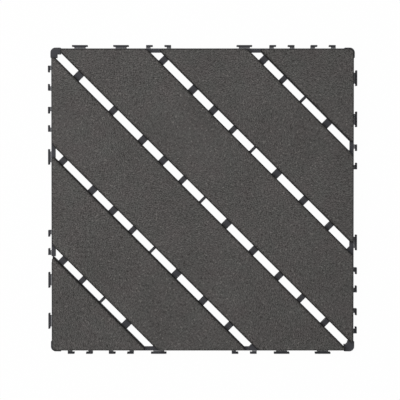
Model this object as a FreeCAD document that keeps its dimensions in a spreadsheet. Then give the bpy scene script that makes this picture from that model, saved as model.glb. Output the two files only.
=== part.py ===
# Interlocking deck tile: six diagonal composite slats, screwed from below to one moulded
# base grid that has tabs and hooks on its four sides.
# Millimetres. +Z is up and the origin is the middle of the footprint, on the ground.
# The gaps between the slats run along the direction "run", 45 degrees clockwise from +X.
# The direction "across" is square to them, 45 degrees anticlockwise from +X.
import FreeCAD, Part
import os
import re
import Sketcher

Vector = FreeCAD.Vector
doc = FreeCAD.newDocument("deck_tile")
sheet = doc.addObject("Spreadsheet::Sheet", "Sizes")

# Driving sizes of the slats, the base grid, the connectors and the screws
SIZES = {
    "slat_field": (300.0, "side of the square that the slats fill"),
    "slat_pitch": (100.0, "spacing of the drain gaps along a side"),
    "gap_width": (7.3, "drain gap between two slats, square to the gap"),
    "slat_thickness": (9.0, "slat, from the grid to the walking face"),
    "slat_edge_radius": (1.4, "rounding of the walking face's edges"),
    "tip_round": (0.4, "plan radius of the sharp tips, beyond the edge rounding"),
    "blunt_radius": (7.0, "plan radius of the blunt corners at the gap ends"),
    "square_radius": (4.0, "plan radius of the corner slats' square corners"),
    "tip_cut": (8.5, "length cut off the tips beside the corner posts"),
    "foot_height": (3.0, "ground to the underside of the ribs"),
    "base_height": (13.0, "ground to the seat of the slats"),
    "rim_side": (301.8, "outer side of the rim"),
    "rim_wall": (2.0, "thickness of the rim's upright wall"),
    "rim_ledge": (4.3, "width of the rim's top ledge, wall included"),
    "ledge_thickness": (2.0, "thickness of the rim's top ledge"),
    "rim_radius": (5.0, "outer radius of the rim's corners"),
    "rim_chamfer": (0.5, "bevel along the rim's outer top edge"),
    "notch_width": (6.0, "break in the rim beside one hook"),
    "post_side": (303.4, "outer side across the corner posts"),
    "post_arm": (10.0, "length of a corner post's arm"),
    "post_wall": (6.4, "thickness of a corner post's arm"),
    "post_radius": (5.0, "outer radius of the corner posts"),
    "gusset_place": (203.9, "centre of the tile to the face of the corner gusset"),
    "gusset_width": (4.0, "thickness of the corner gusset"),
    "rib_thickness": (1.8, "thickness of the ribs along the slats"),
    "rib_lift": (1.5, "underside of the bars to the underside of the ribs"),
    "rib_drop": (0.5, "seat of the slats to the top of the ribs"),
    "rib_setback": (0.2, "side of a slat to the rib under its edge"),
    "corner_rib": (36.0, "outer gap to the rib under a corner slat"),
    "screw_offset": (16.0, "centre line of a slat to its screws"),
    "corner_screw": (20.0, "outer gap to the screws of a corner slat"),
    "bar_wall": (1.5, "side wall of a channel crossbar"),
    "bar_web": (2.0, "top web of a channel crossbar"),
    "tab_neck": (10.9, "width of a tab's neck"),
    "tab_head": (15.5, "width of a tab's head"),
    "hook_play": (0.4, "clearance of a tab on each side between its hooks"),
    "hook_neck": (4.3, "width of a hook's neck"),
    "neck_depth": (1.8, "rim to the inner face of tab heads and hook lips"),
    "lip_thickness": (1.6, "thickness of tab heads and hook lips"),
    "lead_in": (0.6, "bevel on the lower edges of tab heads and hook lips"),
    "connector_height": (9.0, "height of the tabs and hooks"),
    "connector_near": (42.8, "middle of a side to the inner connectors"),
    "connector_mid": (80.3, "middle of a side to the middle connectors"),
    "connector_far": (121.4, "middle of a side to the outer connectors"),
    "connector_shift": (1.1, "upper and lower connectors, to the left of their places"),
    "boss_diameter": (10.0, "hollow screw boss, which is also a foot"),
    "seat_thickness": (3.5, "plastic between the screw's head and the slat"),
    "screw_diameter": (3.5, "shank of the screw"),
    "screw_length": (10.0, "screw, from under its head to the tip"),
    "screw_point": (2.0, "length of the screw's point"),
    "screw_end": (0.6, "blunt end of the point"),
    "head_diameter": (6.6, "pan head of the screw"),
    "head_height": (2.3, "pan head of the screw"),
    "head_crown": (0.8, "rounded part of the head's height"),
    "shank_play": (0.3, "radial clearance of the shank in its boss"),
    "head_play": (0.3, "radial clearance of the head in its boss"),
    "thread_play": (0.02, "radial clearance of the shank in its slat"),
    "pilot_spare": (0.8, "pilot hole beyond the screw's tip"),
}

# Crossbars of the grid: place along the run, and width
CROSSBARS = [
    (-175.0, 7.2),
    (-126.0, 6.2),
    (-84.5, 6.9),
    (-55.5, 6.9),
    (-28.0, 5.4),
    (0.0, 2.8),
    (34.0, 7.2),
    (72.0, 6.3),
    (108.0, 5.6),
    (139.5, 4.8),
    (173.5, 5.4),
]
SOLID_BARS = [5]
for number, (place, width) in enumerate(CROSSBARS):
    SIZES["bar%02d_place" % number] = (place, "crossbar, from the centre along the run")
    SIZES["bar%02d_width" % number] = (width, "width of that crossbar")

for row, (alias, (size, meaning)) in enumerate(SIZES.items(), start=1):
    sheet.set("A%d" % row, str(size))
    sheet.set("B%d" % row, meaning)
    sheet.setAlias("A%d" % row, alias)
doc.recompute()

# Sides of the outlines that stand for the round bosses, holes and screws
ROUND_SIDES = 8

# Formulas that several pieces share
HALF_FIELD = "slat_field / 2"
HALF_RIM = "rim_side / 2"
HALF_POST = "post_side / 2"
GAP_SPACING = "slat_pitch / sqrt(2)"
SLAT_TOP = "base_height + slat_thickness"
GRID_HEIGHT = "base_height - foot_height"
SEAT_HEIGHT = "base_height - seat_thickness"
TURN_TO_RUN = -45

# Half the diagonal of the squares in the middle and at the inner face of the rim's wall
WALL_REACH = "(rim_side - rim_wall) / sqrt(2)"
INNER_REACH = "(rim_side - rim_wall * 2) / sqrt(2)"


def formula(text):
    """The same formula with the sheet's name before each alias."""
    return re.sub(r"[a-z]\w*", lambda word: ("Sizes." if word[0] in SIZES else "") + word[0], text)


def number_of(text):
    """Present value of a formula."""
    return float(sheet.evalExpression(formula(text)))


def new_body(label):
    """An empty body that may hold several solids until they are joined."""
    body = doc.addObject("PartDesign::Body", label)
    body.Label = label
    body.AllowCompound = True
    return body


def new_sketch(body, name, height="0", turn=0, role="XY_Plane"):
    """A sketch on one of the body's planes, lifted by a formula and turned about its normal."""
    sketch = body.newObject("Sketcher::SketchObject", name)
    plane = [item for item in body.Origin.OriginFeatures if item.Role == role][0]
    sketch.AttachmentSupport = [(plane, "")]
    sketch.MapMode = "FlatFace"
    sketch.AttachmentOffset = FreeCAD.Placement(Vector(), FreeCAD.Rotation(Vector(0, 0, 1), turn))
    sketch.setExpression("AttachmentOffset.Base.z", formula(height))
    return sketch


def constrain(sketch, constraints):
    """Add constraints, each with its formula or None, and bind those that have one."""
    first = sketch.ConstraintCount
    sketch.addConstraint([constraint for constraint, text in constraints])
    for index, (constraint, text) in enumerate(constraints, start=first):
        if text is not None:
            sketch.setExpression("Constraints[%d]" % index, formula(text))


def pin_start(line, x, y):
    """Constraints that hold the start of a line at two formulas."""
    return [
        (Sketcher.Constraint("DistanceX", -1, 1, line, 1, number_of(x)), x),
        (Sketcher.Constraint("DistanceY", -1, 1, line, 1, number_of(y)), y),
    ]


def add_polygon(sketch, corners):
    """A closed outline of straight lines through corners given as pairs of formulas."""
    points = [Vector(number_of(x), number_of(y), 0) for x, y in corners]
    first = sketch.GeometryCount
    constraints = []
    for index, (x, y) in enumerate(corners):
        following = (index + 1) % len(corners)
        sketch.addGeometry(Part.LineSegment(points[index], points[following]))
        constraints += pin_start(first + index, x, y)
    for index in range(len(corners)):
        following = first + (index + 1) % len(corners)
        constraints.append((Sketcher.Constraint("Coincident", first + index, 2, following, 1), None))
    constrain(sketch, constraints)


def add_rectangle(sketch, left, right, low, high):
    """A rectangle between four formulas."""
    add_polygon(sketch, [(left, low), (right, low), (right, high), (left, high)])


def add_strip(sketch, low, high, reach, upright=False):
    """A strip between two formulas, with mitred ends on a square that stands on its corner."""
    corners = []
    for side in (-1, 1):
        ends = [("%d * (%s - abs(%s))" % (side, reach, edge), edge) for edge in (low, high)]
        if number_of(low) * number_of(high) < 0:
            ends.insert(1, ("%d * (%s)" % (side, reach), "0"))
        corners += ends[::-side]
    if upright:
        corners = [(y, x) for x, y in corners]
    add_polygon(sketch, corners)


def add_square(sketch, half):
    """A square about the origin, given half of its side."""
    add_rectangle(sketch, "-(%s)" % half, half, "-(%s)" % half, half)


def add_round(sketch, radius):
    """A many-sided outline about the origin, given the distance to its flats."""
    step = 360 / ROUND_SIDES
    reach = "(%s) / cos(%g)" % (radius, step / 2)
    turns = [step * number for number in range(ROUND_SIDES)]
    add_polygon(sketch, [("%s * cos(%g)" % (reach, turn), "%s * sin(%g)" % (reach, turn)) for turn in turns])


def add_pad(body, sketch, name, length):
    """Material from the sketch upwards."""
    pad = body.newObject("PartDesign::Pad", name)
    pad.Profile = sketch
    pad.setExpression("Length", formula(length))
    doc.recompute()
    return pad


def add_pocket(body, sketch, name, depth):
    """A cut from the sketch upwards, which has to take some material away."""
    volume_before = body.Shape.Volume
    pocket = body.newObject("PartDesign::Pocket", name)
    pocket.Profile = sketch
    pocket.Reversed = True
    pocket.setExpression("Length", formula(depth))
    doc.recompute()
    if body.Shape.Volume >= volume_before:
        raise RuntimeError(name + " cuts nothing")
    return pocket


def edge_names(shape, wanted):
    """Names of the shape's edges that a test picks."""
    return ["Edge%d" % index for index, edge in enumerate(shape.Edges, start=1) if wanted(edge)]


def round_edges(body, name, wanted, radius):
    """Round the edges of the body that a test picks."""
    last = body.Tip
    fillet = body.newObject("PartDesign::Fillet", name)
    fillet.Base = (last, edge_names(last.Shape, wanted))
    fillet.setExpression("Radius", formula(radius))
    doc.recompute()
    return fillet


def bevel_edges(body, name, wanted, size):
    """Bevel the edges of the body that a test picks."""
    last = body.Tip
    bevel = body.newObject("PartDesign::Chamfer", name)
    bevel.Base = (last, edge_names(last.Shape, wanted))
    bevel.setExpression("Size", formula(size))
    doc.recompute()
    return bevel


def on_side_at(reach, height):
    """A test for edges at a height whose ends touch the sides of a square about the origin."""
    half = number_of(reach)
    level = number_of(height)

    def wanted(edge):
        sides = [max(abs(vertex.X), abs(vertex.Y)) for vertex in edge.Vertexes]
        levels = [vertex.Z for vertex in edge.Vertexes]
        return all(abs(a - half) < 0.001 and abs(b - level) < 0.001 for a, b in zip(sides, levels))

    return wanted


def upright_at(corners):
    """A test for upright edges that stand at one of the corners, given as pairs of formulas."""
    places = [Vector(number_of(x), number_of(y), 0) for x, y in corners]

    def wanted(edge):
        ends = [vertex.Point for vertex in edge.Vertexes]
        if len(ends) != 2 or abs(ends[0].z - ends[1].z) < 1:
            return False
        feet = [Vector(end.x, end.y, 0) for end in ends]
        return any(feet[0].isEqual(place, 0.01) and feet[1].isEqual(place, 0.01) for place in places)

    return wanted


def at_height(height):
    """A test for edges that lie flat at a height given as a formula."""
    level = number_of(height)
    return lambda edge: all(abs(vertex.Z - level) < 0.001 for vertex in edge.Vertexes)


def place_copies(form, places, height, label):
    """Copies of a form at places given along the run and across it, all kept together."""
    copies = []
    for along, across in places:
        copy = doc.addObject("App::Link", "copy")
        copy.LinkedObject = form
        copy.setExpression("Placement.Base.x", formula("(%s + %s) / sqrt(2)" % (along, across)))
        copy.setExpression("Placement.Base.y", formula("(%s - %s) / sqrt(2)" % (across, along)))
        copy.setExpression("Placement.Base.z", formula(height))
        copies.append(copy)
    group = doc.addObject("Part::Compound", label)
    group.Label = label
    group.Links = copies
    doc.recompute()
    return group


def cut_away(piece, tools, label):
    """The piece without the tools, which have to take some material away."""
    cut = doc.addObject("Part::Cut", label)
    cut.Label = label
    cut.Base = piece
    cut.Tool = tools
    cut.Refine = True
    doc.recompute()
    if cut.Shape.Volume >= piece.Shape.Volume:
        raise RuntimeError("nothing is cut from " + label)
    return cut


# Slats

# Each gap crosses the tile on a line where x + y is a number of slat pitches.
GAP_INTERCEPT = "gap_width / sqrt(2)"


def side_of_gap(number, side):
    """Formula of x + y on one side of a gap: +1 is towards the upper right corner."""
    return "(slat_pitch * %d + %d * %s)" % (number, side, GAP_INTERCEPT)


def centre_slat_corners():
    """Corners of the slat beside the middle gap, whose two tips stop short of the posts."""
    near = side_of_gap(0, 1)
    far = side_of_gap(1, -1)
    cut = "(tip_cut - %s)" % HALF_FIELD
    tips = [
        (cut, HALF_FIELD),
        (HALF_FIELD, cut),
        ("%s - %s" % (near, cut), cut),
        (cut, "%s - %s" % (near, cut)),
    ]
    blunt = [("%s - %s" % (far, HALF_FIELD), HALF_FIELD), (HALF_FIELD, "%s - %s" % (far, HALF_FIELD))]
    return [tips[0], blunt[0], blunt[1], tips[1], tips[2], tips[3]], {"tip": tips, "blunt": blunt}


def outer_slat_corners():
    """Corners of the slat between the first and the second gap from the middle."""
    near = side_of_gap(1, 1)
    far = side_of_gap(2, -1)
    tips = [("%s - %s" % (near, HALF_FIELD), HALF_FIELD), (HALF_FIELD, "%s - %s" % (near, HALF_FIELD))]
    blunt = [("%s - %s" % (far, HALF_FIELD), HALF_FIELD), (HALF_FIELD, "%s - %s" % (far, HALF_FIELD))]
    return [tips[0], blunt[0], blunt[1], tips[1]], {"tip": tips, "blunt": blunt}


def corner_slat_corners():
    """Corners of the three-sided slat in the tile's corner."""
    near = side_of_gap(2, 1)
    tips = [("%s - %s" % (near, HALF_FIELD), HALF_FIELD), (HALF_FIELD, "%s - %s" % (near, HALF_FIELD))]
    square = [(HALF_FIELD, HALF_FIELD)]
    return [tips[0], square[0], tips[1]], {"tip": tips, "square": square}


CORNER_RADII = {
    "tip": "slat_edge_radius + tip_round",
    "blunt": "blunt_radius",
    "square": "square_radius",
}

# Screws of each slat: number of the crossbar, and place across the tile
CENTRE_LINE = "%s / 2" % GAP_SPACING
OUTER_LINE = "%s * 3 / 2" % GAP_SPACING
CORNER_LINE = "%s * 2" % GAP_SPACING
CENTRE_SCREWS = [(bar, "%s %s screw_offset" % (CENTRE_LINE, sign)) for bar in (1, 9) for sign in "+-"]
OUTER_SCREWS = [(bar, "%s %s screw_offset" % (OUTER_LINE, sign)) for bar in (3, 7) for sign in "+-"]
CORNER_SCREWS = [(bar, "%s + corner_screw" % CORNER_LINE) for bar in (4, 6)]
SLAT_KINDS = {
    "centre_slat": (centre_slat_corners, CENTRE_SCREWS),
    "outer_slat": (outer_slat_corners, OUTER_SCREWS),
    "corner_slat": (corner_slat_corners, CORNER_SCREWS),
}
SIDES = {"upper_right": 1, "lower_left": -1}


def turned(side, pairs):
    """Pairs of formulas, turned half round the origin for the lower left side."""
    return [("%d * (%s)" % (side, x), "%d * (%s)" % (side, y)) for x, y in pairs]


def screw_places(kind, side):
    """Places of a slat's screws as formulas along the run and across it."""
    screws = SLAT_KINDS[kind][1]
    return [("bar%02d_place" % bar, "%d * (%s)" % (side, across)) for bar, across in screws]


def make_pilot_form():
    """The blind hole that one screw fills in a slat."""
    body = new_body("pilot_form")
    outline = new_sketch(body, "outline")
    add_round(outline, "screw_diameter / 2 + thread_play")
    add_pad(body, outline, "hole", "screw_length - seat_thickness + pilot_spare")
    return body


def make_slat(kind, side_name, pilot_form):
    """A slat with rounded plan corners, eased walking edges and blind pilot holes below."""
    side = SIDES[side_name]
    label = "%s_%s" % (kind, side_name)
    corners, classes = SLAT_KINDS[kind][0]()
    body = new_body(label + "_board")
    outline = new_sketch(body, "outline", "base_height")
    add_polygon(outline, turned(side, corners))
    add_pad(body, outline, "slab", "slat_thickness")
    for name, places in classes.items():
        round_edges(body, name + "_corners", upright_at(turned(side, places)), CORNER_RADII[name])
    round_edges(body, "walking_edges", at_height(SLAT_TOP), "slat_edge_radius")
    pilots = place_copies(pilot_form, screw_places(kind, side), "base_height", label + "_pilots")
    return cut_away(body, pilots, label)


pilot_form = make_pilot_form()
slats = [make_slat(kind, side_name, pilot_form) for kind in SLAT_KINDS for side_name in SIDES]
ALL_SCREWS = [place for kind in SLAT_KINDS for side in SIDES.values() for place in screw_places(kind, side)]


# Base grid


def add_crossbars(body):
    """Bars across the slats, at their own places, and the gusset in one corner."""
    sketch = new_sketch(body, "crossbar_plan", "foot_height", TURN_TO_RUN)
    for number in range(len(CROSSBARS)):
        low = "(bar%02d_place - bar%02d_width / 2)" % (number, number)
        high = "(bar%02d_place + bar%02d_width / 2)" % (number, number)
        add_strip(sketch, low, high, WALL_REACH, upright=True)
    add_strip(sketch, "gusset_place", "(gusset_place + gusset_width)", WALL_REACH, upright=True)
    add_pad(body, sketch, "crossbars", GRID_HEIGHT)


def rib_lines():
    """Middle of each rib along the slats, as formulas across the tile."""
    edge = "(gap_width / 2 + rib_setback + rib_thickness / 2)"
    gaps = ["%s * %d" % (GAP_SPACING, gap) for gap in range(-2, 3)]
    lines = ["%s %s %s" % (gap, sign, edge) for gap in gaps for sign in "+-"]
    for side in SIDES.values():
        for line in (CENTRE_LINE, OUTER_LINE, "%s + corner_rib" % CORNER_LINE):
            lines.append("%d * (%s)" % (side, line))
    return lines


def make_ribs():
    """Thin ribs along the slats, between the bars: under their edges and their middles."""
    body = new_body("rib_grid")
    sketch = new_sketch(body, "rib_plan", "foot_height + rib_lift", TURN_TO_RUN)
    for line in rib_lines():
        low = "(%s - rib_thickness / 2)" % line
        high = "(%s + rib_thickness / 2)" % line
        add_strip(sketch, low, high, WALL_REACH)
    add_pad(body, sketch, "ribs", "%s - rib_lift - rib_drop" % GRID_HEIGHT)
    add_channels(body)
    return body


def add_ring(body, name, height, width, length):
    """A square ring whose outer face is the rim's."""
    sketch = new_sketch(body, name + "_plan", height)
    add_square(sketch, HALF_RIM)
    add_square(sketch, "%s - %s" % (HALF_RIM, width))
    add_pad(body, sketch, name, length)


def four_corners(x, y):
    """The four mirror images of a point."""
    return [("%d * (%s)" % (right, x), "%d * (%s)" % (up, y)) for right in (1, -1) for up in (1, -1)]


def add_posts(body):
    """An angle-shaped post in each corner, down to the ground and proud of the rim."""
    sketch = new_sketch(body, "post_plan")
    end = "%s - post_arm" % HALF_POST
    inside = "%s - post_wall" % HALF_POST
    outer = [(end, HALF_POST), (HALF_POST, HALF_POST), (HALF_POST, end)]
    angle = outer + [(inside, end), (inside, inside), (end, inside)]
    for right in (1, -1):
        for up in (1, -1):
            add_polygon(sketch, [("%d * (%s)" % (right, x), "%d * (%s)" % (up, y)) for x, y in angle])
    add_pad(body, sketch, "posts", "base_height")
    round_edges(body, "post_corners", upright_at(four_corners(HALF_POST, HALF_POST)), "post_radius")


# Connectors on the upper side from left to right; the other sides repeat them.
TABS = ["-connector_far", "-connector_mid", "connector_near"]
HOOK_PAIRS = ["-connector_near", "connector_mid", "connector_far"]
NECK_FOOT = "%s - rim_wall / 2" % HALF_RIM
LIP_INNER = "%s + neck_depth" % HALF_RIM
LIP_OUTER = "%s + neck_depth + lip_thickness" % HALF_RIM
HOOK_INNER = "tab_head / 2 + hook_play"
HOOK_LIP = "tab_neck / 2 + hook_play"
HOOK_OUTER = "tab_head / 2 + hook_play + hook_neck"

# Quarter turns of each side, and the sign of its connectors' shift along it
CONNECTOR_SIDES = {"upper": (0, -1), "left": (90, 0), "lower": (180, 1), "right": (270, 0)}


def tab_corners(middle):
    """Outline of a tab: a neck and a wider head."""
    half = [
        ("tab_neck / 2", NECK_FOOT),
        ("tab_neck / 2", LIP_INNER),
        ("tab_head / 2", LIP_INNER),
        ("tab_head / 2", LIP_OUTER),
    ]
    right = [("%s + %s" % (middle, x), y) for x, y in half]
    left = [("%s - %s" % (middle, x), y) for x, y in half]
    return right + left[::-1]


def hook_corners(middle, sign):
    """Outline of one hook, whose lip points at the middle of its pair."""
    half = [
        (HOOK_INNER, NECK_FOOT),
        (HOOK_OUTER, NECK_FOOT),
        (HOOK_OUTER, LIP_OUTER),
        (HOOK_LIP, LIP_OUTER),
        (HOOK_LIP, LIP_INNER),
        (HOOK_INNER, LIP_INNER),
    ]
    return [("%s %s (%s)" % (middle, sign, x), y) for x, y in half]


def add_connectors(body):
    """Tabs and hooks in the same order round all sides, so that any two tiles mate."""
    for side, (turn, sign) in CONNECTOR_SIDES.items():
        sketch = new_sketch(body, side + "_connector_plan", "foot_height", turn)
        shift = "%d * connector_shift" % sign
        for middle in TABS:
            add_polygon(sketch, tab_corners("%s + %s" % (middle, shift)))
        for middle in HOOK_PAIRS:
            for way in "+-":
                add_polygon(sketch, hook_corners("%s + %s" % (middle, shift), way))
        add_pad(body, sketch, side + "_connectors", "connector_height")
    bevel_edges(body, "lead_ins", on_side_at(LIP_OUTER, "foot_height"), "lead_in")


def add_channels(body):
    """The bars' hollow undersides, apart from the thin solid bar in the middle."""
    sketch = new_sketch(body, "channel_plan", "foot_height", TURN_TO_RUN)
    for number in range(len(CROSSBARS)):
        if number not in SOLID_BARS:
            low = "(bar%02d_place - bar%02d_width / 2 + bar_wall)" % (number, number)
            high = "(bar%02d_place + bar%02d_width / 2 - bar_wall)" % (number, number)
            add_strip(sketch, low, high, INNER_REACH, upright=True)
    add_pocket(body, sketch, "channels", "%s - bar_web" % GRID_HEIGHT)


def add_notch(body):
    """The break in the rim of the lower side, beside one hook."""
    sketch = new_sketch(body, "notch_plan", "foot_height")
    start = "-connector_near - connector_shift - (%s)" % HOOK_OUTER
    outside = "-(%s) - lip_thickness" % HALF_RIM
    inside = "-(%s) + rim_ledge" % HALF_RIM
    add_rectangle(sketch, outside, inside, "%s - notch_width" % start, start)
    add_pocket(body, sketch, "notch", GRID_HEIGHT)


def make_boss_form():
    """One solid screw boss, which stands on the ground."""
    body = new_body("boss_form")
    outline = new_sketch(body, "outline")
    add_round(outline, "boss_diameter / 2")
    add_pad(body, outline, "boss", "base_height")
    return body


def make_bore_form():
    """The stepped hole of one boss: a recess for the head and a hole for the shank."""
    body = new_body("bore_form")
    shank = new_sketch(body, "shank_outline")
    add_round(shank, "screw_diameter / 2 + shank_play")
    add_pad(body, shank, "shank_hole", "base_height")
    head = new_sketch(body, "head_outline")
    add_round(head, "head_diameter / 2 + head_play")
    add_pad(body, head, "head_recess", SEAT_HEIGHT)
    return body


def make_base_grid():
    """The whole moulding, from its ledge and ribs to its connectors and bosses."""
    body = new_body("base_frame")
    add_ring(body, "ledge", "base_height - ledge_thickness", "rim_ledge", "ledge_thickness")
    add_ring(body, "rim", "foot_height", "rim_wall", GRID_HEIGHT)
    round_edges(body, "rim_corners", upright_at(four_corners(HALF_RIM, HALF_RIM)), "rim_radius")
    bevel_edges(body, "rim_bevel", on_side_at(HALF_RIM, "base_height"), "rim_chamfer")
    add_posts(body)
    add_connectors(body)
    add_crossbars(body)
    add_channels(body)
    add_notch(body)
    bosses = place_copies(make_boss_form(), ALL_SCREWS, "0", "bosses")
    joined = doc.addObject("Part::MultiFuse", "base_with_bosses")
    joined.Shapes = [body, make_ribs(), bosses]
    joined.Refine = False
    doc.recompute()
    return cut_away(joined, place_copies(make_bore_form(), ALL_SCREWS, "0", "bores"), "base_grid")


base_grid = make_base_grid()


# Screws


def add_ruled_loft(body, name, low, high):
    """Straight-sided material between two outlines."""
    loft = body.newObject("PartDesign::AdditiveLoft", name)
    loft.Profile = low
    loft.Sections = [high]
    loft.Ruled = True
    doc.recompute()


def round_at(body, name, height, radius):
    """A sketch with one round outline at a height."""
    sketch = new_sketch(body, name, height)
    add_round(sketch, radius)
    return sketch


def make_screw_form():
    """One pan-head screw, point up, with the seat of its head at its own origin."""
    body = new_body("screw_form")
    shank_radius = "screw_diameter / 2"
    head_radius = "head_diameter / 2"
    shank = round_at(body, "shank_outline", "0", shank_radius)
    add_pad(body, shank, "shank", "screw_length - screw_point")
    point_foot = round_at(body, "point_foot", "screw_length - screw_point", shank_radius)
    point_end = round_at(body, "point_end", "screw_length", "screw_end / 2")
    add_ruled_loft(body, "point", point_foot, point_end)
    rim = round_at(body, "head_outline", "head_crown - head_height", head_radius)
    add_pad(body, rim, "head", "head_height - head_crown")
    crown_end = round_at(body, "crown_end", "-head_height", "%s - head_crown" % head_radius)
    crown_foot = round_at(body, "crown_foot", "head_crown - head_height", head_radius)
    add_ruled_loft(body, "crown", crown_end, crown_foot)
    return body


slat_screws = place_copies(make_screw_form(), ALL_SCREWS, SEAT_HEIGHT, "slat_screws")


# Check every object, then write each piece to its own file
doc.recompute()
for item in doc.Objects:
    if "Invalid" in item.State or "Error" in item.State:
        raise RuntimeError(item.Name + " failed: " + str(item.State))

os.makedirs("parts", exist_ok=True)
for piece in [base_grid, slat_screws] + slats:
    shape = piece.Shape
    if shape.isNull() or not shape.isValid():
        raise RuntimeError(piece.Label + " has no valid shape")
    shape.exportStep("parts/%s.step" % piece.Label)
    box = shape.BoundBox
    ends = (box.XMin, box.XMax, box.YMin, box.YMax, box.ZMin, box.ZMax)
    print("%-26s %3d solids %9.1f mm3" % (piece.Label, len(shape.Solids), shape.Volume))
    print("    x %.2f to %.2f  y %.2f to %.2f  z %.2f to %.2f" % ends)
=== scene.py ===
# %% [markdown]
# # An interlocking deck tile
# The tile is a square of six diagonal composite slats, screwed from below to a moulded
# plastic grid whose tabs and hooks join it to the next tile. The packed CAD model already
# holds every piece at its real size. This lesson gives the slats their grain, the moulding
# its soft edges and the screws their crossed heads, and then lights and frames them.
# All lengths are in metres.

# %% Load the frame
import math
from collections import namedtuple

import bmesh
import bpy
from mathutils import Matrix, Vector, noise


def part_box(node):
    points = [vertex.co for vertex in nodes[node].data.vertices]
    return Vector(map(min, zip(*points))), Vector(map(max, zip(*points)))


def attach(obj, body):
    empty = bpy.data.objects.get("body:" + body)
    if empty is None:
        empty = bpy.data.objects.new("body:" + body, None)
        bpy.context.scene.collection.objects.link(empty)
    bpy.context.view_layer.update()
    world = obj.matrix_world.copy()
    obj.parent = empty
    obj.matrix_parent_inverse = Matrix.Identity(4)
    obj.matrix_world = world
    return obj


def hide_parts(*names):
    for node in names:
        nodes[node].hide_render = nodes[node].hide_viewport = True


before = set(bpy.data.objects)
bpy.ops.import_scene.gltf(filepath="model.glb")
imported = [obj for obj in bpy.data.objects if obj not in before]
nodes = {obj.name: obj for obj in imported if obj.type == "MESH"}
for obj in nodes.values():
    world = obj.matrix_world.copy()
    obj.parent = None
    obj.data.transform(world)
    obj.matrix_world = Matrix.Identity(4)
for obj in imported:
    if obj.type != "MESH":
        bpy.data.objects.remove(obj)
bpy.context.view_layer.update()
print("CAD nodes:", ", ".join(sorted(nodes)))

# %% [markdown]
# ## A helper for shader maths
# Procedural finishes are formulas. Wiring each sum by hand hides the formula, so a small
# class wraps a node socket and turns Python's operators into Math nodes. Python asks for
# the reflected form of an operator where a plain number comes first, as in 1 - mask.

# %% Signals


class Signal:
    """A node's output that adds Math nodes when it is used in a sum or a product."""

    def __init__(self, sheet, socket):
        self.sheet = sheet
        self.socket = socket

    def __add__(self, other):
        return self.sheet.math("ADD", self, other)

    def __radd__(self, other):
        return self.sheet.math("ADD", other, self)

    def __sub__(self, other):
        return self.sheet.math("SUBTRACT", self, other)

    def __rsub__(self, other):
        return self.sheet.math("SUBTRACT", other, self)

    def __mul__(self, other):
        return self.sheet.math("MULTIPLY", self, other)

    def __rmul__(self, other):
        return self.sheet.math("MULTIPLY", other, self)


operators = [name for name in vars(Signal) if name.endswith(("add__", "sub__", "mul__"))]
print("a signal's operators:", ", ".join(operators))

# %% [markdown]
# ## A sheet of nodes
# Materials and the sky are both trees of nodes. One method adds every kind of node: its
# settings first, because they change which sockets it has, and then the values or links of
# its sockets. The other methods are short names for what both sorts of tree need.

# %% Node sheets


class NodeSheet:
    """The nodes of a material or of the sky, and the ways to add and feed them."""

    def __init__(self, tree):
        self.nodes = tree.nodes
        self.links = tree.links

    def feed(self, node, sockets):
        """Give sockets their links or values."""
        for key, value in sockets.items():
            if isinstance(value, Signal):
                self.links.new(value.socket, node.inputs[key])
            else:
                node.inputs[key].default_value = value

    def add(self, kind, settings, sockets, output=0):
        """One node of any kind, as the signal of one of its outputs."""
        node = self.nodes.new(kind)
        for key, value in settings.items():
            setattr(node, key, value)
        self.feed(node, sockets)
        return Signal(self, node.outputs[output])

    def math(self, operation, *terms):
        """A Math node's result on one or two terms."""
        return self.add("ShaderNodeMath", {"operation": operation}, dict(enumerate(terms)))

    def seen(self):
        """One for a ray that ends in the picture, straight or by way of metal or glass."""
        rays = ["Is Camera Ray", "Is Glossy Ray", "Is Transmission Ray"]
        camera, glossy, through = [self.add("ShaderNodeLightPath", {}, {}, ray) for ray in rays]
        return self.math("MAXIMUM", camera, self.math("MAXIMUM", glossy, through))

    def mix(self, amount, first, second):
        """A shader between two others."""
        return self.add("ShaderNodeMixShader", {}, {0: amount, 1: first, 2: second})


print("a node sheet's methods:", ", ".join(name for name in vars(NodeSheet) if name[0] != "_"))

# %% [markdown]
# ## A finish
# A finish is the node sheet of one Principled shader. Its patterns read the object's own
# coordinates, so they stay on a piece that is turned or moved. A number that is the same
# all over the surface is set on the shader's own socket, where the export can read it.

# %% Finishes


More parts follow.
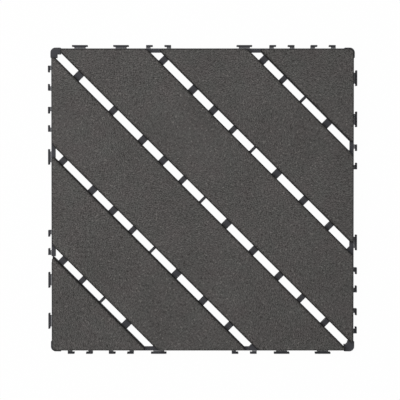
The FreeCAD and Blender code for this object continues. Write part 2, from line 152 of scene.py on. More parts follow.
class Finish(NodeSheet):
    """A material with one Principled shader, given with its plain numbers."""

    def __init__(self, name, constants):
        self.material = bpy.data.materials.new(name)
        self.material.use_nodes = True
        super().__init__(self.material.node_tree)
        self.shader = self.nodes["Principled BSDF"]
        self.shade(constants)

    def shade(self, sockets):
        """Set or link the shader's own sockets."""
        self.feed(self.shader, sockets)

    def place(self):
        """The point on the object."""
        return self.add("ShaderNodeTexCoord", {}, {}, "Object")

    def axis(self, name):
        """One coordinate of the point on the object."""
        return self.add("ShaderNodeSeparateXYZ", {}, {"Vector": self.place()}, name)

    def facing(self):
        """How far the surface looks upwards, from -1 to 1."""
        normal = self.add("ShaderNodeNewGeometry", {}, {}, "Normal")
        return self.add("ShaderNodeSeparateXYZ", {}, {"Vector": normal}, "Z")

    def noise(self, lump, detail, roughness=0.5):
        """Soft noise from 0 to 1, made of lumps of about one size."""
        sockets = {"Scale": 1 / lump, "Detail": detail, "Roughness": roughness}
        return self.add("ShaderNodeTexNoise", {}, {"Vector": self.place(), **sockets})

    def spread(self, signal, low, high):
        """The signal stretched so that low becomes 0 and high becomes 1."""
        sockets = {"Value": signal, "From Min": low, "From Max": high}
        return self.add("ShaderNodeMapRange", {"clamp": True}, sockets)

    def blend(self, amount, first, second):
        """A colour between two others."""
        sockets = {0: amount, 6: first, 7: second}
        return self.add("ShaderNodeMix", {"data_type": "RGBA"}, sockets, 2)

    def bump(self, height, distance):
        """A normal that follows a height from 0 to 1, which stands for a distance."""
        sockets = {"Strength": 1.0, "Distance": distance, "Height": height}
        return self.add("ShaderNodeBump", {}, sockets)


print("a finish's own methods:", ", ".join(name for name in vars(Finish) if name[0] != "_"))

# %% [markdown]
# ## Colours as they look
# A colour is easiest to judge as it looks on a screen, from 0 to 255. A screen squeezes its
# levels along a curve, and light doesn't, so each level is straightened for the shader.

# %% Colours

FULL_LEVEL = 255
CURVE_FOOT = 0.04045
FOOT_SLOPE = 12.92
CURVE_SHIFT = 0.055
CURVE_POWER = 2.4


def straight(level):
    """One level of a screen as an amount of light from 0 to 1."""
    level /= FULL_LEVEL
    if level <= CURVE_FOOT:
        return level / FOOT_SLOPE
    return ((level + CURVE_SHIFT) / (1 + CURVE_SHIFT)) ** CURVE_POWER


def linear(red, green, blue):
    """A colour given as it looks on screen, as the shader wants it."""
    return (straight(red), straight(green), straight(blue), 1.0)


print("mid slat colour:", [round(level, 4) for level in linear(82, 80, 78)])

# %% [markdown]
# ## Composite for the slats
# The slats are wood flour pressed with plastic. Brushing opens the walking face and shows a
# grain of about a millimetre, with faint warm and cool clouds and a few flecks. The rounded
# edges are painted near-black and the sides darker, both as painted shade. A picture would
# repeat and would not reach the sides, so noise in the object's own coordinates is used, and
# the way a face points tells the brushed face from the painted shade on edge and side.

# %% Slat colours and sizes

SLAT_NUMBERS = {"IOR": 1.45, "Specular IOR Level": 0.15}
HOLLOW_COOL, HOLLOW_WARM = linear(26, 26, 24), linear(28, 26, 24)
CREST_COOL, CREST_WARM = linear(106, 105, 103), linear(108, 104, 103)
PALE_FLECK, DARK_FLECK = linear(146, 142, 138), linear(34, 26, 25)
# Painted shade: the sides are painted darker than the face, and the rounded edges near-black.
SIDE_PAINTED_SHADE, EDGE_PAINTED_SHADE = linear(50, 49, 47), linear(24, 24, 24)
FINE_LUMP, COARSE_LUMP = 0.0010, 0.0024
CLOUD_LUMP, WARM_LUMP = 0.035, 0.02
PALE_FLECK_LUMP, DARK_FLECK_LUMP = 0.0015, 0.0024
GRAIN_LIMITS = (0.33, 0.67)
CLOUD_LIMITS = (0.3, 0.7)
PALE_FLECK_LIMITS, DARK_FLECK_LIMITS = (0.70, 0.80), (0.26, 0.18)
PALE_FLECK_AMOUNT, DARK_FLECK_AMOUNT = 0.35, 0.4
COARSE_SHARE, CLOUD_SHARE = 0.25, 0.1
EDGE_SHADE_FACING, FACE_OVER_SHADE_FACING = (0.05, 0.35), (0.5, 0.985)
SLAT_ROUGHNESS, GRAIN_ROUGHNESS = 0.66, 0.16
GRAIN_BUMP, BUMP_COARSE_SHARE = 0.0003, 0.4

print("grain lumps in millimetres:", FINE_LUMP * 1000, "and", COARSE_LUMP * 1000)

# %% Slat finish


def brushed_face(finish, grain):
    """The colour of the walking face: the grain, its clouds and its flecks."""
    cloud = finish.spread(finish.noise(CLOUD_LUMP, detail=3.0, roughness=0.55), *CLOUD_LIMITS)
    warmth = finish.spread(finish.noise(WARM_LUMP, detail=2.0), *CLOUD_LIMITS)
    hollow = finish.blend(warmth, HOLLOW_COOL, HOLLOW_WARM)
    crest = finish.blend(warmth, CREST_COOL, CREST_WARM)
    level = grain * (1 - CLOUD_SHARE) + cloud * CLOUD_SHARE
    pale = finish.spread(finish.noise(PALE_FLECK_LUMP, detail=0.0), *PALE_FLECK_LIMITS)
    dark = finish.spread(finish.noise(DARK_FLECK_LUMP, detail=0.0), *DARK_FLECK_LIMITS)
    colour = finish.blend(level, hollow, crest)
    colour = finish.blend(pale * PALE_FLECK_AMOUNT, colour, PALE_FLECK)
    return finish.blend(dark * DARK_FLECK_AMOUNT, colour, DARK_FLECK)


def slat_finish():
    finish = Finish("slat_composite", SLAT_NUMBERS)
    fine = finish.noise(FINE_LUMP, detail=1.0, roughness=0.6)
    coarse = finish.noise(COARSE_LUMP, detail=2.0, roughness=0.6)
    grain = finish.spread(fine * (1 - COARSE_SHARE) + coarse * COARSE_SHARE, *GRAIN_LIMITS)
    relief = fine * (1 - BUMP_COARSE_SHARE) + coarse * BUMP_COARSE_SHARE
    # Painted shade by facing: near-black on the rounded edges, darker down the sides.
    painted_shade = finish.blend(finish.spread(finish.facing(), *EDGE_SHADE_FACING), SIDE_PAINTED_SHADE, EDGE_PAINTED_SHADE)
    upward = finish.spread(finish.facing(), *FACE_OVER_SHADE_FACING)
    finish.shade({
        "Base Color": finish.blend(upward, painted_shade, brushed_face(finish, grain)),
        "Roughness": SLAT_ROUGHNESS + grain * GRAIN_ROUGHNESS,
        "Normal": finish.bump(relief, GRAIN_BUMP),
    })
    return finish.material


slat_material = slat_finish()
print("slat finish nodes:", len(slat_material.node_tree.nodes))

# %% [markdown]
# ## A slat's outline
# Every slat is a convex board between two diagonal lines, trimmed by the sides of the tile.
# The corners are known, so the only work is to round each of them with a short arc. The long
# edges beside the gaps are rounded widely, and the cut ends hardly at all, so each side of the
# outline also carries the share of the wide rounding that it gets.

# %% The tile's own measures

HALF_FIELD = 0.150
GAP_STEP = 0.100
GAP_INTERCEPT = 0.0073 / math.sqrt(2)
TIP_CUT = 0.0085
BLUNT_RADIUS = 0.007
SQUARE_RADIUS = 0.004
TIP_RADIUS = 0.0018


def gap_side(number, side):
    """The value of x + y on one side of a gap, where +1 is towards the upper right."""
    return GAP_STEP * number + side * GAP_INTERCEPT


print("the middle gap lies between", [round(gap_side(0, side), 4) for side in (-1, 1)])

# %% Corners of the three kinds of slat


def centre_outline():
    """The long slat beside the middle gap, whose two tips are cut off."""
    near = gap_side(0, 1)
    far = gap_side(1, -1)
    tip = TIP_CUT - HALF_FIELD
    return [
        (tip, near - tip, TIP_RADIUS),
        (near - tip, tip, TIP_RADIUS),
        (HALF_FIELD, tip, TIP_RADIUS),
        (HALF_FIELD, far - HALF_FIELD, BLUNT_RADIUS),
        (far - HALF_FIELD, HALF_FIELD, BLUNT_RADIUS),
        (tip, HALF_FIELD, TIP_RADIUS),
    ]


def outer_outline():
    """The shorter slat, between the first gap and the second."""
    near = gap_side(1, 1)
    far = gap_side(2, -1)
    return [
        (near - HALF_FIELD, HALF_FIELD, TIP_RADIUS),
        (HALF_FIELD, near - HALF_FIELD, TIP_RADIUS),
        (HALF_FIELD, far - HALF_FIELD, BLUNT_RADIUS),
        (far - HALF_FIELD, HALF_FIELD, BLUNT_RADIUS),
    ]


def corner_outline():
    """The three-cornered slat beyond the second gap."""
    near = gap_side(2, 1)
    return [
        (near - HALF_FIELD, HALF_FIELD, TIP_RADIUS),
        (HALF_FIELD, near - HALF_FIELD, TIP_RADIUS),
        (HALF_FIELD, HALF_FIELD, SQUARE_RADIUS),
    ]


OUTLINES = {
    "centre_slat": centre_outline,
    "outer_slat": outer_outline,
    "corner_slat": corner_outline,
}
print("corners:", {kind: len(outline()) for kind, outline in OUTLINES.items()})

# %% Rounded corners

ARC_PARTS = 6
SLANTS_BY = 0.001


def gap_share(start, end):
    """One for a side along a gap, which runs at 45 degrees, and zero for a cut end."""
    return float(abs(start[0] - end[0]) > SLANTS_BY and abs(start[1] - end[1]) > SLANTS_BY)


def rounded(corners):
    """The outline with an arc at each corner: points, with the share of the side after each."""
    points = []
    for index, (x, y, radius) in enumerate(corners):
        corner = Vector((x, y))
        last = Vector(corners[index - 1][:2])
        following = Vector(corners[(index + 1) % len(corners)][:2])
        before = (last - corner).normalized()
        after = (following - corner).normalized()
        half_angle = before.angle(after) / 2
        centre = corner + (before + after).normalized() * radius / math.sin(half_angle)
        arm = corner + before * radius / math.tan(half_angle) - centre
        turn = arm.angle_signed(corner + after * radius / math.tan(half_angle) - centre)
        shares = gap_share(last, corner), gap_share(corner, following)
        for part in range(ARC_PARTS + 1):
            share = shares[0] + (shares[1] - shares[0]) * part / ARC_PARTS
            points.append((centre + Matrix.Rotation(-turn * part / ARC_PARTS, 2) @ arm, share))
    return points


for kind, outline in OUTLINES.items():
    print(kind, "has", len(rounded(outline())), "outline points")

# %% [markdown]
# ## A slat with a real grain
# Bump alone fails in a close view and is no part of the mesh, so the walking face gets
# a true relief. A fine grid is laid along the slat, trimmed by one cut per side of the
# outline, and cut again by lines beside its edges, where the rounding needs its points. Each
# point then goes down by the rounding and by a little noise, and the rim is pulled down to
# make the sides.

# %% The outline's sides

SLAT_LOW, SLAT_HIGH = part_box("centre_slat_upper_right")
SLAT_TOP = SLAT_HIGH.z
SLAT_BASE = SLAT_LOW.z
GAP_ROUNDING = (0.0032, 0.0030)
END_ROUNDING = (0.0014, 0.0014)
SHORTEST_SIDE = 0.000001

Side = namedtuple("Side", "place outward length width depth")


def middle_of(points):
    """The mean of the outline's points, which lies inside it."""
    return sum(points, Vector((0, 0))) / len(points)


def rounding(share):
    """Width and depth of an edge's rounding, between a cut end's and a gap edge's."""
    return [low + (high - low) * share for low, high in zip(END_ROUNDING, GAP_ROUNDING)]


def outline_sides(outline):
    """Each side of an outline: a point on it, the way out, its length and its rounding."""
    middle = middle_of([point for point, share in outline])
    sides = []
    for index, (point, share) in enumerate(outline):
        run = outline[(index + 1) % len(outline)][0] - point
        if run.length > SHORTEST_SIDE:
            outward = Vector((run.y, -run.x, 0)).normalized()
            if outward.dot((middle - point).to_3d()) > 0:
                outward.negate()
            place = Vector((point.x, point.y, SLAT_TOP))
            sides.append(Side(place, outward, run.length, *rounding(share)))
    return sides


print("a slat lies from", round(SLAT_BASE, 4), "to", round(SLAT_TOP, 4))

# %% One cut through the sheet

CUT_SNAP = 0.00004


def cut(shape, place, outward, trim):
    """Cut the whole sheet along a line, and with trim drop what lies beyond it."""
    bmesh.ops.bisect_plane(
        shape,
        geom=shape.verts[:] + shape.edges[:] + shape.faces[:],
        dist=CUT_SNAP,
        plane_co=place,
        plane_no=outward,
        clear_outer=trim,
    )


print("a cut joins points nearer than", CUT_SNAP * 1000, "mm")

# %% A sheet cut to the outline

GRID_CELL = 0.0009
ROUNDING_LINES = (0.08, 0.25, 0.5, 0.75, 1.0)
SHORTEST_LINED_SIDE = 0.003
RUN_TURN = Matrix.Rotation(math.radians(-45), 4, "Z")


def reach(points, middle, way):
    """How far an outline reaches from its middle in one direction, and one cell more."""
    return max(abs((point - middle).dot(way)) for point in points) + GRID_CELL


def trimmed_sheet(points, sides):
    """A fine grid along the slats, cut to a convex outline and lined beside its edges."""
    middle = middle_of(points)
    along = reach(points, middle, (RUN_TURN @ Vector((1, 0, 0))).xy)
    across = reach(points, middle, (RUN_TURN @ Vector((0, 1, 0))).xy)
    shape = bmesh.new()
    bmesh.ops.create_grid(
        shape,
        x_segments=math.ceil(2 * along / GRID_CELL),
        y_segments=math.ceil(2 * across / GRID_CELL),
        size=1.0,
    )
    bmesh.ops.scale(shape, vec=(along, across, 1.0), verts=shape.verts)
    bmesh.ops.transform(shape, matrix=RUN_TURN, verts=shape.verts)
    bmesh.ops.translate(shape, vec=(middle.x, middle.y, SLAT_TOP), verts=shape.verts)
    for side in sides:
        cut(shape, side.place, side.outward, True)
    for side in sides:
        if side.length > SHORTEST_LINED_SIDE:
            for part in ROUNDING_LINES:
                cut(shape, side.place - side.outward * side.width * part, side.outward, False)
    return shape


print("the sheet's cells are", GRID_CELL * 1000, "mm wide")

# %% The rounding and the grain

GRAIN_DEPTH = 0.00016
GRAIN_FADE = 0.0006
FINE_FREQUENCY, BROAD_FREQUENCY = 520, 160
FINE_WEIGHT, BROAD_WEIGHT, MIDDLE_LEVEL = 0.42, 0.3, 0.5
OCTAVE_FADE, OCTAVE_STEP, OCTAVES = 1.0, 2.0, 2


def edge_drop(vertex, sides):
    """How far the rounding lowers a point, and how near the outline it lies."""
    drop = 0.0
    nearest = 1.0
    for side in sides:
        distance = max((side.place - vertex.co).dot(side.outward), 0.0)
        nearest = min(nearest, distance)
        if distance < side.width:
            outer_share = 1 - distance / side.width
            drop = max(drop, side.depth * (1 - math.sqrt(1 - outer_share ** 2)))
    return drop, nearest


def grain_at(place):
    """How far the brushed face lies below its highest points, from 0 to 1."""
    fine = noise.fractal(place * FINE_FREQUENCY, OCTAVE_FADE, OCTAVE_STEP, OCTAVES)
    broad = noise.noise(place * BROAD_FREQUENCY)
    return min(max(MIDDLE_LEVEL + FINE_WEIGHT * fine + BROAD_WEIGHT * broad, 0.0), 1.0)


print("the grain is up to", GRAIN_DEPTH * 1000, "mm deep")

# %% [markdown]
# ## From a bmesh to a piece
# A bmesh is only a shape in memory. A piece is an object that holds it, wears a material,
# rides on a body and stands for a CAD node. All pieces go through the same two functions.

# %% Objects and pieces


def mesh_object(name, shape):
    """A finished bmesh as an object in the scene."""
    mesh = bpy.data.meshes.new(name)
    shape.to_mesh(mesh)
    shape.free()
    item = bpy.data.objects.new(name, mesh)
    bpy.context.scene.collection.objects.link(item)
    return item


def new_piece(name, shape, material, node):
    """A finished bmesh as a piece that rides on the tile and stands for one CAD node."""
    piece = mesh_object(name, shape)
    piece.data.materials.append(material)
    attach(piece, "root")
    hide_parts(node)
    return piece


# %% Build the six slats

FLAT_FACE_CORNERS = 10


def build_slat(kind, half):
    """One slat, with its grain, rounded walking edges, sides and underside."""
    outline = rounded(OUTLINES[kind]())
    sides = outline_sides(outline)
    shape = trimmed_sheet([point for point, share in outline], sides)
    rim = [edge for edge in shape.edges if len(edge.link_faces) == 1]
    for vertex in shape.verts:
        drop, nearest = edge_drop(vertex, sides)
        drop += GRAIN_DEPTH * grain_at(vertex.co) * min(nearest / GRAIN_FADE, 1.0)
        vertex.co.z -= drop
    walls = bmesh.ops.extrude_edge_only(shape, edges=rim)["geom"]
    for item in walls:
        if isinstance(item, bmesh.types.BMVert):
            item.co.z = SLAT_BASE
    new_edges = [item for item in walls if isinstance(item, bmesh.types.BMEdge)]
    lower_rim = [edge for edge in new_edges if edge.is_boundary]
    bmesh.ops.edgeloop_fill(shape, edges=lower_rim)
    if half == "lower_left":
        half_turn = Matrix.Rotation(math.pi, 4, "Z")
        bmesh.ops.transform(shape, matrix=half_turn, verts=shape.verts)
    bmesh.ops.recalc_face_normals(shape, faces=shape.faces)
    for face in shape.faces:
        face.smooth = len(face.verts) < FLAT_FACE_CORNERS
    for edge in lower_rim:
        edge.smooth = False
    return shape


for kind in OUTLINES:
    for half in ("upper_right", "lower_left"):
        node = "%s_%s" % (kind, half)
        slat = new_piece(node + "_grained", build_slat(kind, half), slat_material, node)
        print(slat.name, "has", len(slat.data.polygons), "faces")

# %% [markdown]
# ## Moulded plastic
# The grid is one injection moulding in charcoal plastic with a faintly blue cast. Moulds are
# spark-textured, which leaves a very fine satin grain. The top faces are painted paler and the
# low parts darker, as painted light and shade, and the roots of the tabs and hooks carry a thin
# painted highlight. The height and the distance from the middle tell those places apart.

# %% Grid colours and places

GRID_NUMBERS = {"IOR": 1.49, "Specular IOR Level": 0.15}
# Painted light and shade: the top faces are painted paler than the low parts.
SHADED_LOW_GRID, ROOT_PAINTED_HIGHLIGHT = linear(49, 49, 53), linear(160, 160, 162)
LIT_TOP_DARK, LIT_TOP_PALE = linear(56, 56, 60), linear(64, 64, 68)
SPARK_LUMP, BLOOM_LUMP = 0.0005, 0.03
BLOOM_LIMITS = (0.3, 0.7)
LIT_TOP_HEIGHT, LIT_TOP_FADE = 0.0127, 0.0004
# Where the painted highlight at the roots of the tabs and hooks lies.
ROOT_START, ROOT_START_FADE = 0.15098, 0.00004
ROOT_END, ROOT_END_FADE = 0.1515, 0.0001
ROOT_FACING = (0.6, 0.9)
GRID_ROUGHNESS, BLOOM_ROUGHNESS = 0.54, 0.1
SPARK_BUMP = 0.00006

print("faces above", LIT_TOP_HEIGHT * 1000, "mm are rubbed")

# %% Grid finish


def painted_root_highlight(finish):
    """The painted highlight: one on the upper faces of the tabs' and hooks' roots, zero
    elsewhere.
    """
    sizes = [finish.math("ABSOLUTE", finish.axis(name)) for name in "XY"]
    outwards = finish.math("MAXIMUM", *sizes)
    started = finish.spread(outwards, ROOT_START - ROOT_START_FADE, ROOT_START)
    ended = finish.spread(outwards, ROOT_END, ROOT_END + ROOT_END_FADE)
    return started * (1 - ended) * finish.spread(finish.facing(), *ROOT_FACING)


def grid_finish():
    finish = Finish("grid_plastic", GRID_NUMBERS)
    spark = finish.noise(SPARK_LUMP, detail=2.0, roughness=0.6)
    bloom = finish.noise(BLOOM_LUMP, detail=3.0, roughness=0.6)
    bloom = finish.spread(bloom, *BLOOM_LIMITS)
    # Painted light and shade: faces above this height are painted paler, those below darker.
    painted_paler = finish.spread(finish.axis("Z"), LIT_TOP_HEIGHT - LIT_TOP_FADE, LIT_TOP_HEIGHT)
    # A thin painted highlight at the roots of the tabs and hooks.
    low = finish.blend(painted_root_highlight(finish), SHADED_LOW_GRID, ROOT_PAINTED_HIGHLIGHT)
    top = finish.blend(bloom, LIT_TOP_DARK, LIT_TOP_PALE)
    finish.shade({
        "Base Color": finish.blend(painted_paler, low, top),
        "Roughness": GRID_ROUGHNESS + bloom * BLOOM_ROUGHNESS,
        "Normal": finish.bump(spark, SPARK_BUMP),
    })
    return finish.material


grid_material = grid_finish()
print("grid finish nodes:", len(grid_material.node_tree.nodes))

# %% [markdown]
# ## The moulding's soft edges
# A mould can't have razor edges, and the eye finds them by their thin highlights. The CAD
# solid is made of loose triangles, so a copy of it is merged, its flat faces are joined
# again, and a Bevel modifier breaks every edge by a fraction of a millimetre. Clamping is
# off, because one very short edge anywhere would shrink the bevel of them all. The large
# flat faces have many corners, so a Triangulate modifier splits them before the export has
# to, and a Weld modifier closes the slivers that the bevel leaves where edges meet.

# %% Build the moulding

SAME_POINT = 0.000002
FLAT_ANGLE = math.radians(1)


def merged_copy(node):
    """A CAD node's shape as a bmesh, with its loose triangles joined at their corners."""
    shape = bmesh.new()
    shape.from_mesh(nodes[node].data)
    bmesh.ops.remove_doubles(shape, verts=shape.verts, dist=SAME_POINT)
    return shape


def build_moulding():
    shape = merged_copy("base_grid")
    bmesh.ops.dissolve_limit(
        shape,
        angle_limit=FLAT_ANGLE,
        use_dissolve_boundaries=False,
        verts=shape.verts,
        edges=shape.edges,
    )
    return shape


moulding = new_piece("base_moulding", build_moulding(), grid_material, "base_grid")
print("moulding faces after joining:", len(moulding.data.polygons))

# %% Break the moulding's edges

EDGE_BREAK = 0.0002
SHARP_ANGLE = math.radians(35)

edge_break = moulding.modifiers.new("edge_break", "BEVEL")
edge_break.width = EDGE_BREAK
edge_break.segments = 2
edge_break.limit_method = "ANGLE"
edge_break.angle_limit = SHARP_ANGLE
edge_break.use_clamp_overlap = False
moulding.modifiers.new("clean_triangles", "TRIANGULATE")
sliver_weld = moulding.modifiers.new("sliver_weld", "WELD")
sliver_weld.merge_threshold = SAME_POINT
print("moulding modifiers:", ", ".join(modifier.name for modifier in moulding.modifiers))

# %% [markdown]
# ## Screws
# Twenty pan-head screws hold the slats, and only their heads show, deep in the bosses of the
# underside. One screw is spun from its profile, a cross is cut into its head, and copies of
# it go to the place of each CAD screw. Steel has hardly any colour of its own, so its finish
# is mostly a roughness that changes from spot to spot.

# %% Screw finish

SCREW_NUMBERS = {"Metallic": 1.0, "IOR": 1.5}
DULL_STEEL, BRIGHT_STEEL = linear(168, 170, 173), linear(205, 206, 207)
WEAR_LUMP, WEAR_LIMITS = 0.0012, (0.3, 0.7)
STEEL_ROUGHNESS, WEAR_ROUGHNESS = 0.26, 0.2
WEAR_BUMP = 0.00002


def screw_finish():
    finish = Finish("screw_steel", SCREW_NUMBERS)
    wear = finish.noise(WEAR_LUMP, detail=3.0, roughness=0.6)
    wear = finish.spread(wear, *WEAR_LIMITS)
    finish.shade({
        "Base Color": finish.blend(wear, DULL_STEEL, BRIGHT_STEEL),
        "Roughness": STEEL_ROUGHNESS + wear * WEAR_ROUGHNESS,
        "Normal": finish.bump(wear, WEAR_BUMP),
    })
    return finish.material


screw_material = screw_finish()
print("screw finish nodes:", len(screw_material.node_tree.nodes))

# %% Spin a screw

HEAD_HEIGHT = 0.0023
HEAD_PROFILE = [
    (0.0, -HEAD_HEIGHT), (0.0012, -0.00225), (0.0022, -0.002), (0.00285, -0.0016),
    (0.0032, -0.001), (0.0033, -0.0004), (0.0033, -0.0001), (0.0032, 0.0), (0.0018, 0.0),
    (0.0016, 0.0004),
]
THREAD_START, THREAD_END, THREAD_PITCH = 0.0008, 0.0082, 0.0012
THREAD_ROOT, THREAD_CREST, CREST_PLACE = 0.0013, 0.00172, 0.4
TAPER_LENGTH, TAPER_END = 0.0024, 0.0104
SCREW_TIP = (0.0, 0.0099)
SCREW_STEPS = 20
POLE_MERGE = 0.00001


def screw_profile():
    """Half of the screw's outline, from the top of its head to its tip."""
    profile = list(HEAD_PROFILE)
    height = THREAD_START
    while height < THREAD_END:
        taper = min(1.0, (TAPER_END - height) / TAPER_LENGTH)
        profile.append((THREAD_ROOT * taper, height))
        profile.append((THREAD_CREST * taper, height + THREAD_PITCH * CREST_PLACE))
        height += THREAD_PITCH / 2
    return profile + [SCREW_TIP]


def spun_screw():
    """The profile spun once round its axis, with its poles and its seam closed."""
    shape = bmesh.new()
    points = [shape.verts.new((x, 0, z)) for x, z in screw_profile()]
    edges = [shape.edges.new(pair) for pair in zip(points, points[1:])]
    bmesh.ops.spin(
        shape, geom=points + edges, cent=(0, 0, 0), axis=(0, 0, 1),
        angle=math.tau, steps=SCREW_STEPS, use_merge=True, use_duplicate=False,
    )
    bmesh.ops.remove_doubles(shape, verts=shape.verts, dist=POLE_MERGE)
    bmesh.ops.recalc_face_normals(shape, faces=shape.faces)
    return shape


print("screw profile points:", len(screw_profile()))

# %% [markdown]
# ## The cross in the head
# A driver needs a recess. Its slanted walls could be built face by face, but the head's
# dome would have to be joined to them by hand. It is simpler to model what the tool takes
# away, two blades that cross, and to let a Boolean modifier take it out of the head.

# %% Cut a cross into the head

BLADE_SIZE = (0.0038, 0.0008, 0.003)
BLADE_END_SHARE = (0.45, 0.6, 1.0)


def cross_cutter():
    """Two blades that cross and narrow inwards, to be taken out of the head."""
    shape = bmesh.new()
    for turn in (0, 90):
        blade = bmesh.ops.create_cube(shape, size=1.0)["verts"]
        bmesh.ops.scale(shape, vec=BLADE_SIZE, verts=blade)
        inner_end = [vertex for vertex in blade if vertex.co.z > 0]
        bmesh.ops.scale(shape, vec=BLADE_END_SHARE, verts=inner_end)
        quarter = Matrix.Rotation(math.radians(turn), 3, "Z")
        bmesh.ops.rotate(shape, cent=(0, 0, 0), matrix=quarter, verts=blade)
        bmesh.ops.translate(shape, vec=(0, 0, -HEAD_HEIGHT), verts=blade)
    return shape


def crossed_screw():
    """The spun screw with the cross cut out of its head, as a mesh."""
    screw = mesh_object("screw_blank", spun_screw())
    cutter = mesh_object("cross_cutter", cross_cutter())
    recess = screw.modifiers.new("cross", "BOOLEAN")
    recess.object = cutter
    recess.operation = "DIFFERENCE"
    recess.solver = "EXACT"
    recess.use_self = True
    shown = screw.evaluated_get(bpy.context.evaluated_depsgraph_get())
    mesh = bpy.data.meshes.new_from_object(shown)
    for item in (screw, cutter):
        bpy.data.objects.remove(item)
    return mesh


one_screw = crossed_screw()
print("one screw has", len(one_screw.polygons), "faces")

# %% [markdown]
# ## Where the screws go
# The CAD model holds all the screws in one mesh, and knows their places to the micron.
# Typing the places in again could go wrong, so they are read from that mesh: points that
# edges join belong to one screw, and the middle of such a group is the screw's axis. Each
# copy is turned a little further, because no two screws stop at the same angle.

# %% Find the screws' places

PLACE_DIGITS = 4


def screw_places():
    """The middle of each CAD screw's head seat, found from its own vertices."""
    shape = merged_copy("slat_screws")
    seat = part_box("slat_screws")[0].z + HEAD_HEIGHT
    left = set(shape.verts)
    places = []
    while left:
        island = [left.pop()]
        for vertex in island:
            for edge in vertex.link_edges:
                other = edge.other_vert(vertex)
                if other in left:
                    left.remove(other)
                    island.append(other)
        xs = [vertex.co.x for vertex in island]
        ys = [vertex.co.y for vertex in island]
        places.append(Vector(((min(xs) + max(xs)) / 2, (min(ys) + max(ys)) / 2, seat)))
    shape.free()
    return sorted(places, key=lambda place: [round(value, PLACE_DIGITS) for value in place.xy])


print("screws found:", len(screw_places()))

# %% Set the screws

TURN_PER_SCREW = 37


def build_screws():
    """A copy of the one screw at each place, each turned further than the one before."""
    shape = bmesh.new()
    for number, place in enumerate(screw_places()):
        start = len(shape.verts)
        shape.from_mesh(one_screw)
        shape.verts.ensure_lookup_table()
        fresh = shape.verts[start:]
        turn = Matrix.Rotation(math.radians(TURN_PER_SCREW * number), 4, "Z")
        bmesh.ops.transform(shape, matrix=Matrix.Translation(place) @ turn, verts=fresh)
    for face in shape.faces:
        face.smooth = True
    return shape


screws = new_piece("pan_head_screws", build_screws(), screw_material, "slat_screws")
print("screws have", len(screws.data.polygons), "faces")

# %% [markdown]
# ## Floor and backdrop
# The photograph has a pure white ground with almost no shadow. A floor that is only white
# paint would need so much light that the dark tile washed out. Instead most of what is seen
# of the floor, straight or mirrored in a shiny face, is its own white. The rest is grey paint
# that takes the shadow, and for the light that falls on the tile the floor is paint alone.

# %% Floor

WHITE = (1.0, 1.0, 1.0, 1.0)
FLOOR_SIZE = 12.0
FLOOR_PAINT = (0.3, 0.3, 0.3, 1.0)
FLOOR_NUMBERS = {"Base Color": FLOOR_PAINT, "Roughness": 1.0, "Specular IOR Level": 0.0}
FLOOR_GLOW = 1.025
FLOOR_OWN_WHITE = 0.96


def floor_finish():
    finish = Finish("floor_white", FLOOR_NUMBERS)
    own = finish.add("ShaderNodeEmission", {}, {"Color": WHITE, "Strength": FLOOR_GLOW})
    paint = Signal(finish, finish.shader.outputs[0])
    mixed = finish.mix(finish.seen() * FLOOR_OWN_WHITE, paint, own)
    finish.feed(finish.nodes["Material Output"], {"Surface": mixed})
    return finish.material


def make_floor():
    shape = bmesh.new()
    bmesh.ops.create_grid(shape, x_segments=1, y_segments=1, size=FLOOR_SIZE / 2)
    floor = mesh_object("floor", shape)
    floor.data.materials.append(floor_finish())
    return floor


make_floor()
print("floor:", FLOOR_SIZE, "m wide")

# %% [markdown]
# ## Light
# One soft lamp, high up on the upper left, gives the slats their slight fall-off towards the
# lower right. It shines along the gaps, so the crossbars in them are lit as the slats are, and
# it leaves the connectors on the right in the tile's shade. A plain even sky fills the rest.
# As light the sky is dim, and where it is seen it is as white as the floor.

# %% Lamp

LAMP_PLACE, LAMP_TARGET = (-0.29, 0.14, 1.10), (0, 0, 0)
LAMP_SIZE, LAMP_POWER = 0.8, 10.6


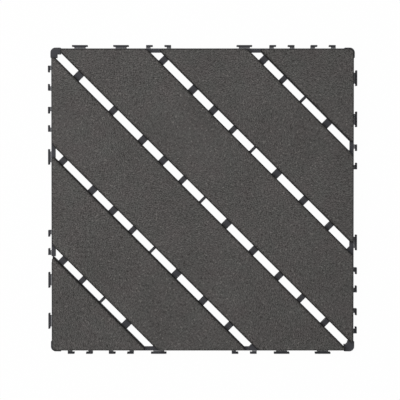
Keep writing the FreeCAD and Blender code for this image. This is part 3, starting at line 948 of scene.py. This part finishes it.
def hang_lamp(name):
    """A soft square lamp at its place, aimed at the tile."""
    lamp = bpy.data.lights.new(name, "AREA")
    lamp.size = LAMP_SIZE
    lamp.energy = LAMP_POWER
    holder = bpy.data.objects.new(name, lamp)
    holder.location = LAMP_PLACE
    aim = Vector(LAMP_TARGET) - Vector(LAMP_PLACE)
    holder.rotation_euler = aim.to_track_quat("-Z", "Y").to_euler()
    holder.visible_camera = False
    bpy.context.scene.collection.objects.link(holder)
    return holder


key_lamp = hang_lamp("key_lamp")
print("lamp height:", round(key_lamp.location.z, 2))

# %% Sky

SKY_LEVEL, BACKDROP_LEVEL = 0.2, 1.0


def make_sky():
    """An even sky: dim as light, and white where it is seen."""
    world = bpy.data.worlds.new("sky")
    world.use_nodes = True
    sheet = NodeSheet(world.node_tree)
    levels = (SKY_LEVEL, BACKDROP_LEVEL)
    dim, backdrop = [
        sheet.add("ShaderNodeBackground", {}, {"Color": WHITE, "Strength": level})
        for level in levels
    ]
    sheet.feed(sheet.nodes["World Output"], {"Surface": sheet.mix(sheet.seen(), dim, backdrop)})
    return world


bpy.context.scene.world = make_sky()
print("sky level:", SKY_LEVEL)

# %% [markdown]
# ## Camera
# The photograph looks almost straight down with a long lens: the gaps show hardly any of
# their walls, even near the corners. So the camera stands two metres up, a little behind the
# middle, and the lens is chosen so that the tile fills as much of the frame.

# %% Camera

CAMERA_PLACE = (-0.00258, 0.0495, 2.0)
CAMERA_TARGET = (-0.00258, 0.0, 0.022)
LENS = 179.2
SENSOR_WIDTH = 36.0
FARTHEST_SEEN = 50.0

camera_data = bpy.data.cameras.new("camera")
camera_data.lens = LENS
camera_data.sensor_width = SENSOR_WIDTH
camera_data.sensor_fit = "HORIZONTAL"
camera_data.clip_end = FARTHEST_SEEN
camera = bpy.data.objects.new("camera", camera_data)
camera.location = CAMERA_PLACE
slope = math.atan2(CAMERA_TARGET[1] - CAMERA_PLACE[1], CAMERA_PLACE[2] - CAMERA_TARGET[2])
camera.rotation_euler = (slope, 0.0, 0.0)
bpy.context.scene.collection.objects.link(camera)
bpy.context.scene.camera = camera
bpy.context.scene.view_settings.view_transform = "Standard"
print("camera tilt in degrees:", round(math.degrees(slope), 2))

# %% [markdown]
# ## The real size stays
# The finishes and the broken edges may not change what the tile measures.

# %% The end
